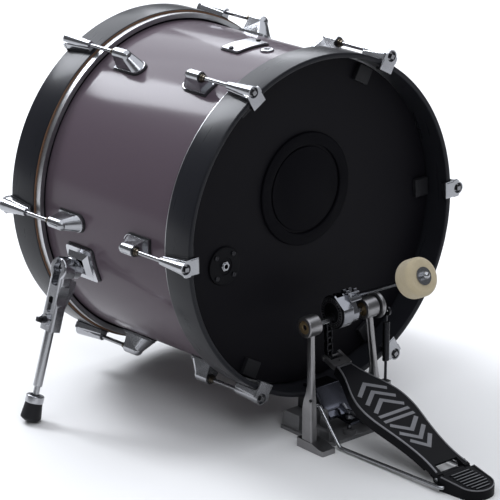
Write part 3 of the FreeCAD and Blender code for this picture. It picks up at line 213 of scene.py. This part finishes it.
# ---- materials ---------------------------------------------------------------------
class Shader:
    """A material's node tree, with short calls for the nodes used here."""

    def __init__(self, name):
        self.material = bpy.data.materials.new(name)
        self.material.use_nodes = True
        self.tree = self.material.node_tree
        self.surface = self.tree.nodes["Principled BSDF"]
        self.coords = self.tree.nodes.new("ShaderNodeTexCoord").outputs["Object"]

    def set(self, **values):
        for key, value in values.items():
            socket = self.surface.inputs[key.replace("_", " ")]
            if isinstance(value, bpy.types.NodeSocket):
                self.tree.links.new(value, socket)
            else:
                socket.default_value = value
        return self

    def node(self, kind, inputs=(), **settings):
        made = self.tree.nodes.new(kind)
        for key, value in settings.items():
            setattr(made, key, value)
        for key, value in dict(inputs).items():
            if isinstance(value, bpy.types.NodeSocket):
                self.tree.links.new(value, made.inputs[key])
            else:
                made.inputs[key].default_value = value
        return made

    def stretched(self, scale):
        return self.node("ShaderNodeMapping", {"Vector": self.coords, "Scale": scale}).outputs[0]

    def noise(self, scale, detail=4, rough=0.5, vector=None):
        made = self.node("ShaderNodeTexNoise", {"Vector": vector or self.coords, "Scale": scale,
                                                "Detail": detail, "Roughness": rough})
        return made.outputs["Fac"]

    def cells(self, scale, vector=None):
        return self.node("ShaderNodeTexVoronoi", {"Vector": vector or self.coords, "Scale": scale})

    def ramp(self, value, low, high):
        """Map 0..1 to a range of numbers."""
        made = self.node("ShaderNodeMapRange", {"Value": value, "To Min": low, "To Max": high})
        return made.outputs[0]

    def clip(self, value, low, high, to=(0, 1)):
        """Map low..high to a range of numbers."""
        made = self.node("ShaderNodeMapRange", {"Value": value, "From Min": low, "From Max": high,
                                                "To Min": to[0], "To Max": to[1]})
        return made.outputs[0]

    def mix(self, factor, a, b):
        made = self.node("ShaderNodeMix", data_type="RGBA")
        for index, value in ((0, factor), (6, a), (7, b)):
            if isinstance(value, bpy.types.NodeSocket):
                self.tree.links.new(value, made.inputs[index])
            else:
                made.inputs[index].default_value = value if index == 0 else (*value, 1)
        return made.outputs[2]

    def bump(self, height, strength, distance=0.001, normal=None):
        inputs = {"Height": height, "Strength": strength, "Distance": distance}
        if normal:
            inputs["Normal"] = normal
        return self.node("ShaderNodeBump", inputs).outputs[0]


def chrome(name, tint=(0.66, 0.67, 0.695), rough=(0.06, 0.14), ripple=0.05):
    """Plated castings: mirror-bright, with faint ripples and hazy patches."""
    s = Shader(name)
    haze = s.noise(60, 5, 0.6)
    s.set(Base_Color=s.mix(haze, tint, tuple(0.9 * c for c in tint)), Metallic=1.0,
          Roughness=s.ramp(haze, *rough),
          Normal=s.bump(s.noise(35, 2), ripple, 0.0006, s.bump(s.noise(900, 3), ripple * 0.6, 0.0001)))
    return s.material


def cast_metal(name, tint=(0.55, 0.555, 0.57), rough=(0.26, 0.42), grain=0.25, metallic=1.0):
    """Satin die-castings with a fine pebbled skin."""
    s = Shader(name)
    cloud = s.noise(40, 6, 0.6)
    dirt = s.clip(s.noise(15, 5, 0.7), 0.35, 0.75)
    s.set(Base_Color=s.mix(dirt, tint, tuple(0.72 * c for c in tint)), Metallic=metallic,
          Roughness=s.ramp(cloud, *rough),
          Normal=s.bump(s.noise(1500, 3), grain, 0.0002))
    return s.material


def brushed(name, tint=(0.6, 0.61, 0.63), rough=(0.16, 0.3), scale=(40, 900, 900)):
    """Drawn steel with fine lines along its length."""
    s = Shader(name)
    lines = s.noise(1, 4, 0.6, s.stretched(scale))
    s.set(Base_Color=s.mix(lines, tint, tuple(0.8 * c for c in tint)), Metallic=1.0,
          Roughness=s.ramp(lines, *rough), Normal=s.bump(lines, 0.12, 0.0002))
    return s.material


def black_rubber(name, tint=(0.008, 0.008, 0.0095), rough=(0.45, 0.62), grain=0.3, scale=1300,
                 shine=0.25):
    s = Shader(name)
    cloud = s.noise(30, 5, 0.6)
    s.set(Base_Color=s.mix(cloud, tint, tuple(1.6 * c for c in tint)), Roughness=s.ramp(cloud, *rough),
          Specular_IOR_Level=shine,
          Normal=s.bump(s.noise(scale, 3), grain, 0.0002))
    return s.material


def shell_lacquer():
    """Mauve-brown metallic lacquer: fine flakes under a deep clear coat."""
    s = Shader("shell_lacquer")
    flake = s.cells(2600)
    sparkle = s.clip(flake.outputs["Distance"], 0.0, 0.6)
    tone = s.noise(6, 3)
    base = s.mix(tone, (0.078, 0.058, 0.072), (0.086, 0.064, 0.079))
    colour = s.mix(sparkle, (0.105, 0.082, 0.098), base)
    s.set(Base_Color=colour, Metallic=0.0, Roughness=0.5, Coat_Weight=0.5, Coat_Roughness=0.13,
          Coat_IOR=1.35, Specular_IOR_Level=0.05, Normal=s.bump(s.noise(2200, 2), 0.08, 0.0001),
          Coat_Normal=s.bump(s.noise(25, 2), 0.012, 0.002))
    return s.material


def hoop_lacquer():
    """Black satin lacquer over ply, with faint lengthways grain showing through."""
    s = Shader("hoop_lacquer")
    grain = s.noise(1, 4, 0.5, s.stretched((12, 160, 12)))
    cloud = s.noise(20, 4)
    s.set(Base_Color=s.mix(cloud, (0.011, 0.0115, 0.014), (0.016, 0.0165, 0.020)),
          Roughness=s.ramp(grain, 0.26, 0.30), Coat_Weight=0.06, Coat_Roughness=0.1,
          Specular_IOR_Level=0.12, Normal=s.bump(grain, 0.012, 0.0003))
    return s.material


def maple_edge():
    """Bare ply at the hoop's edge: thin brown layers."""
    s = Shader("maple_edge")
    plies = s.noise(1, 3, 0.5, s.stretched((30, 1500, 30)))
    s.set(Base_Color=s.mix(plies, (0.085, 0.038, 0.018), (0.20, 0.105, 0.055)), Roughness=0.5,
          Normal=s.bump(plies, 0.2, 0.0003))
    return s.material


def head_film():
    """Matte black head with a fine woven texture."""
    s = Shader("head_film")
    fine = s.noise(2600, 2)
    cloud = s.noise(9, 4, 0.6)
    s.set(Base_Color=s.mix(cloud, (0.0036, 0.0033, 0.0050), (0.0052, 0.0048, 0.0068)),
          Roughness=s.ramp(cloud, 0.5, 0.62), Normal=s.bump(fine, 0.25, 0.00015),
          Specular_IOR_Level=0.1)
    return s.material


def felt():
    """Pressed wool felt: cream, fuzzy, slightly soiled."""
    s = Shader("felt_cream")
    soil = s.clip(s.noise(55, 6, 0.65), 0.35, 0.75)
    fuzz = s.noise(900, 8, 0.75)
    clumps = s.noise(160, 6, 0.65)
    height = s.node("ShaderNodeMath", {0: fuzz, 1: clumps}, operation="ADD").outputs[0]
    base = s.mix(soil, (0.50, 0.42, 0.27), (0.40, 0.33, 0.20))
    s.set(Base_Color=s.mix(fuzz, base, (0.56, 0.48, 0.33)), Roughness=0.95, Sheen_Weight=0.3,
          Sheen_Roughness=0.5, Normal=s.bump(height, 0.7, 0.0012))
    return s.material


CHROME = chrome("hardware_chrome", (0.37, 0.375, 0.392), (0.20, 0.28), 0.012)
DARK_CHROME = chrome("dark_chrome", (0.26, 0.265, 0.285), (0.16, 0.26), 0.04)
# Tension rods: steel chrome whose tint is set darker as a painted reflection of the dark shell the rods
# face.
SHELL_REFLECTION_ROD_STEEL = chrome("rod_steel_painted_reflection", (0.24, 0.24, 0.25), (0.18, 0.28), 0.02)
BASE_PLATE = cast_metal("base_plate", (0.20, 0.20, 0.205), (0.34, 0.48), 0.2, 0.45)
SPUR_CHROME = chrome("spur_chrome", (0.44, 0.445, 0.465), (0.16, 0.28), 0.09)
CAST = cast_metal("post_casting", (0.31, 0.305, 0.31))
CAM_METAL = cast_metal("cam_metal", (0.03, 0.03, 0.033), (0.35, 0.5))
STEEL = brushed("bright_steel", (0.42, 0.425, 0.44))
CHAIN = brushed("dark_chain", (0.035, 0.035, 0.038), (0.25, 0.4), (300, 300, 300))
CLAMP_CHROME = chrome("clamp_chrome", (0.11, 0.115, 0.14), (0.12, 0.25), 0.12)
PAD_RUBBER = black_rubber("pad_rubber", (0.0022, 0.0021, 0.0032), (0.5, 0.65), 0.3, 1300, 0.05)
RUBBER = black_rubber("black_rubber")
POWDER = black_rubber("black_powder_coat", (0.0035, 0.0035, 0.0045), (0.38, 0.48), 0.3, 900, 0.08)
NYLON = black_rubber("black_nylon", (0.012, 0.012, 0.013), (0.3, 0.4), 0.1)
OXIDE = brushed("black_oxide", (0.05, 0.05, 0.055), (0.25, 0.38), (300, 300, 300))
PRINT = cast_metal("bare_edge", (0.20, 0.20, 0.21), (0.35, 0.5), 0.1)
BRASS = chrome("machined_brass", (0.27, 0.215, 0.135), (0.2, 0.34), 0.05)
NUT_METAL = chrome("nut_metal", (0.10, 0.085, 0.065), (0.25, 0.4), 0.03)
BRONZE = cast_metal("sintered_bronze", (0.30, 0.22, 0.12), (0.4, 0.6))
ALUMINIUM = cast_metal("mill_aluminium", (0.46, 0.465, 0.475))
HOOP = hoop_lacquer()
SHELL = shell_lacquer()
MAPLE = maple_edge()
FILM = head_film()
FELT_CREAM = felt()

# ---- drum pieces ------------------------------------------------------------------------
shell_outline = rounded([(SHELL_R, SHELL_Y[0]), (SHELL_R, SHELL_Y[1]),
                         (SHELL_R - SHELL_T, SHELL_Y[1]), (SHELL_R - SHELL_T, SHELL_Y[0])], 0.0015)
stand_in(lathe("drum_shell", shell_outline, DRUM, ROUND_STEPS), "shell", SHELL)


def hoop(name, node, y0):
    outline = rounded([(HOOP_R, y0), (HOOP_R, y0 + HOOP_W), (HOOP_R - HOOP_T, y0 + HOOP_W),
                       (HOOP_R - HOOP_T, y0)], 0.0022)
    return stand_in(lathe(name, outline, DRUM, ROUND_STEPS), node, HOOP)


hoop("batter_hoop_lacquered", "batter_hoop", 0.0)
two_tone(hoop("resonant_hoop_lacquered", "resonant_hoop", DRUM_LEN - HOOP_W), MAPLE, DRUM,
         lambda c, n: c.y < DRUM_LEN - HOOP_W + 0.0003 and math.hypot(c.x, c.z) < HOOP_R)

for node, material in (("flesh_hoops", ALUMINIUM), ("batter_head", FILM), ("resonant_head", FILM),
                       ("strike_pad", PAD_RUBBER), ("strike_pad_ring", PAD_RUBBER),
                       ("head_blocks", RUBBER), ("claws", CHROME), ("claw_gaskets", RUBBER),
                       ("tension_rods", SHELL_REFLECTION_ROD_STEEL), ("swivel_nuts", NUT_METAL), ("nut_washers", NYLON),
                       ("lugs", CHROME), ("shell_gaskets", RUBBER), ("jack_plate", POWDER),
                       ("jack_screws", OXIDE),
                       ("jack_socket", CHROME), ("plate_screws", OXIDE), ("mount_plate", CHROME),
                       ("air_vent", CHROME), ("pad_support_bar", ALUMINIUM), ("sensor_foam", RUBBER),
                       ("piezo_sensor", BRASS), ("spur_brackets", SPUR_CHROME)):
    refined(node, material)

for side in ("left", "right"):
    for part, material in (("clamp", SPUR_CHROME), ("rod", STEEL), ("collar", SPUR_CHROME),
                           ("foot", RUBBER), ("screw", OXIDE)):
        refined(f"{side}_spur_{part}", material)

for node, material in (("pedal_base", BASE_PLATE), ("left_post", CAST), ("right_post", CAST),
                       ("axle_bushes", BRONZE), ("hoop_clamp_plate", CLAMP_CHROME),
                       ("hoop_clamp_pad", RUBBER), ("clamp_wing_bolt", DARK_CHROME),
                       ("radius_rods", STEEL), ("pedal_axle", STEEL), ("chain_cam", CAM_METAL),
                       ("beater_clamp", DARK_CHROME), ("beater_key_screws", DARK_CHROME),
                       ("beater_shaft", STEEL), ("beater_felt", FELT_CREAM),
                       ("beater_nut", STEEL), ("footboard", POWDER),
                       ("toe_fork", CAST), ("heel_plate", POWDER), ("hinge_pin", STEEL),
                       ("spring_rotor", CAST), ("spring_link", OXIDE), ("spring_anchor", OXIDE)):
    refined(node, material)

stretched("drive_chain", CHAIN)
stretched("return_spring", OXIDE)


# ---- pedal finishes: bare edges, rim and printed pattern -----------------------------------
HINGE = (-0.266, 0.013)
BOARD_SLOPE = math.radians(20.5)
BOARD_TOP = 0.0092
PANEL_SINK = 0.0006
CAM_RISE = 0.009
CAM_FACE = min(v.co.x for v in frame["nodes"]["chain_cam"].data.vertices)
HEEL_END = -0.334
HEEL_HALF_W = 0.032

BOARD = PEDAL @ Matrix.Translation((0, *HINGE)) @ Matrix.Rotation(BOARD_SLOPE, 4, "X")
CAM = PEDAL @ Matrix.Translation((0, AXLE.y, AXLE.z + CAM_RISE))


def piece(node):
    return bpy.data.objects[node + "_detailed"]


two_tone(piece("footboard"), PRINT, BOARD,
         lambda c, n: c.z > BOARD_TOP - 0.0014 and not (n.z > 0.99 and c.z < BOARD_TOP - 0.0003))
two_tone(piece("chain_cam"), DARK_CHROME, CAM,
         lambda c, n: abs(n.x) < 0.9 and math.hypot(c.y, c.z) > 0.0195)


def ribbon(bm, points, width, low, high, closed=False):
    """A flat strip of even width along a 2-D path, from height low to high."""
    path = [Vector(p) for p in points]
    count = len(path)
    rails = []
    for k, point in enumerate(path):
        before = path[k - 1] if k or closed else None
        after = path[(k + 1) % count] if k < count - 1 or closed else None
        ways = [w.normalized() for w in ((point - before) if before else None,
                                         (after - point) if after else None) if w is not None]
        way = sum(ways[1:], ways[0]).normalized()
        side = Vector((-way.y, way.x))
        reach = width / 2 / max(0.35, abs(way.dot(ways[0])))
        rails.append((point + side * reach, point - side * reach))
    loops = [[bm.verts.new((p.x, p.y, z)) for p in pair for z in (low, high)] for pair in rails]
    spans = range(count if closed else count - 1)
    for k in spans:
        a, b = loops[k], loops[(k + 1) % count]
        for i, j in ((1, 3), (3, 2), (2, 0), (0, 1)):
            bm.faces.new((a[i], a[j], b[j], b[i]))
    if not closed:
        for loop in (loops[0], loops[-1]):
            bm.faces.new((loop[0], loop[1], loop[3], loop[2]))


def printed(name, strips, place, body, low, high):
    bm = bmesh.new()
    for points, width, closed in strips:
        ribbon(bm, points, width, low, high, closed)
    bm.transform(place)
    return finish_piece(from_bmesh(name, bm), PRINT, body)


def chevron(tip, reach, rise):
    return [(-reach, tip - rise), (0, tip), (reach, tip - rise)]


def make_board_pattern():
    """Nested chevrons with bars between them, in bare metal on the black panel."""
    strips = []
    for tip, reach in ((0.190, 0.0255), (0.172, 0.0265), (0.154, 0.0265)):
        strips.append((chevron(tip, reach, 0.019), 0.0062, False))
    for u, reach in ((0.126, 0.0275), (0.115, 0.0275)):
        strips.append(([(-reach, u), (reach, u)], 0.0052, False))
    for tip, reach in ((0.052, 0.0185), (0.070, 0.0225), (0.088, 0.0245)):
        strips.append((chevron(tip, reach, -0.019), 0.0062, False))
    floor = BOARD_TOP - PANEL_SINK
    printed("board_pattern", strips, BOARD, "footboard", floor - 0.0001, floor + 0.0002)


def make_heel_trim():
    """The bare metal edge and ribs on top of the heel plate."""
    front = HINGE[0] - 0.008
    slope = math.atan2(0.0085, front + 0.010 - HEEL_END)
    top = PEDAL @ Matrix.Translation((0, HEEL_END - 0.005, 0.012)) @ Matrix.Rotation(slope, 4, "X")
    side = HEEL_END + 0.026
    end_w = HEEL_HALF_W - 0.004
    inset = 0.0012
    edge = [(-HEEL_HALF_W + inset, front - HEEL_END + 0.004), (-end_w + inset, side - HEEL_END + 0.005)]
    for k in range(1, 24):
        a = math.pi * k / 24
        edge.append((-(end_w - inset) * math.cos(a), 0.031 - (0.026 - inset) * math.sin(a)))
    edge += [(-x, y) for x, y in reversed(edge[:2])]
    strips = [(edge, 0.0013, False)]
    for k in range(8):
        reach = (0.0125, 0.0155, 0.0185, 0.019, 0.019, 0.019, 0.018, 0.0165)[k]
        y = side - HEEL_END - 0.011 + 0.0062 * k
        strips.append(([(-reach, y), (reach, y)], 0.0016, False))
    printed("heel_trim", strips, top, body_of_node("heel_plate"), -0.0002, 0.0016)


def make_cam_ring():
    """A ring of plain marks on the outer face of the cam."""
    face = Matrix.Translation((CAM_FACE - PEDAL_X, 0, 0)) @ Matrix.Rotation(math.radians(-90), 4, "Y")
    strips = [([(math.cos(a) * r, math.sin(a) * r) for a in (2 * math.pi * k / 48 for k in range(48))],
               0.0006, True) for r in (0.0152, 0.0212)]
    for k in range(30):
        a = math.radians(12 * k)
        strips.append(([(math.cos(a) * r, math.sin(a) * r) for r in (0.0166, 0.0198)],
                       0.0011 if k % 3 else 0.0022, False))
    printed("cam_marks", strips, CAM @ face, body_of_node("chain_cam"), -0.0001, 0.0002)


make_board_pattern()
make_heel_trim()
make_cam_ring()


# ---- floor, light and camera --------------------------------------------------------------
FLOOR_SIZE = 30.0


def make_floor():
    mesh = bpy.data.meshes.new("floor")
    half = FLOOR_SIZE / 2
    mesh.from_pydata([(-half, -half, 0), (half, -half, 0), (half, half, 0), (-half, half, 0)], [],
                     [(0, 1, 2, 3)])
    floor = new_object("studio_floor", mesh)
    s = Shader("floor_paper")
    s.set(Base_Color=(0.87, 0.865, 0.855, 1), Roughness=0.9, Specular_IOR_Level=0.1,
          Normal=s.bump(s.noise(400, 3), 0.03, 0.0003))
    floor.data.materials.append(s.material)


def from_direction(azimuth, elevation, distance):
    """A point seen from the origin: azimuth from +Y towards +X, elevation up."""
    a, e = math.radians(azimuth), math.radians(elevation)
    return Vector((math.sin(a) * math.cos(e), math.cos(a) * math.cos(e), math.sin(e))) * distance


AIM = Vector((0, 0.0, 0.28))


def softbox(name, azimuth, elevation, distance, width, height, watts, colour=(0.91, 0.94, 1)):
    """A rectangular light that faces the drum."""
    lamp = bpy.data.lights.new(name, "AREA")
    lamp.shape = "RECTANGLE"
    lamp.size = width
    lamp.size_y = height
    lamp.energy = watts
    lamp.color = colour
    obj = bpy.data.objects.new(name, lamp)
    bpy.context.scene.collection.objects.link(obj)
    obj.location = AIM + from_direction(azimuth, elevation, distance)
    obj.rotation_euler = (AIM - obj.location).to_track_quat("-Z", "Y").to_euler()
    return obj


def make_lights():
    softbox("overhead_panel", 41, 84, 3.4, 7.0, 7.0, 200)
    softbox("key_behind", 21.5, 33.5, 4.0, 2.65, 1.7, 51)
    softbox("strip_left", -10.2, 41, 4.0, 0.95, 1.5, 94)
    softbox("strip_right", 39.5, 21.0, 4.0, 0.75, 0.8, 8)
    softbox("fill_front", -150, 38, 4.5, 1.6, 1.2, 30)
    world = bpy.data.worlds.new("studio")
    world.use_nodes = True
    background = world.node_tree.nodes["Background"]
    background.inputs["Color"].default_value = (0.93, 0.95, 1, 1)
    background.inputs["Strength"].default_value = 0.16
    bpy.context.scene.world = world


CAMERA_AZIMUTH = 41.107
CAMERA_ELEVATION = 20.566
CAMERA_DISTANCE = 4.685
CAMERA_TARGET = Vector((0, 0.1189, 0.2126))
CAMERA_ROLL = math.radians(0.245)
CAMERA_LENS = 239.0


def make_camera():
    data = bpy.data.cameras.new("photo_angle")
    data.lens = CAMERA_LENS
    data.sensor_width = 36.0
    data.clip_end = 100.0
    camera = bpy.data.objects.new("photo_angle", data)
    bpy.context.scene.collection.objects.link(camera)
    view = from_direction(CAMERA_AZIMUTH, -CAMERA_ELEVATION, 1.0)
    camera.location = CAMERA_TARGET - view * CAMERA_DISTANCE
    aim = view.to_track_quat("-Z", "Y").to_matrix()
    camera.rotation_euler = (aim @ Matrix.Rotation(CAMERA_ROLL, 3, "Z")).to_euler()
    bpy.context.scene.camera = camera


make_floor()
make_lights()
make_camera()
bpy.context.scene.view_settings.view_transform = "Standard"
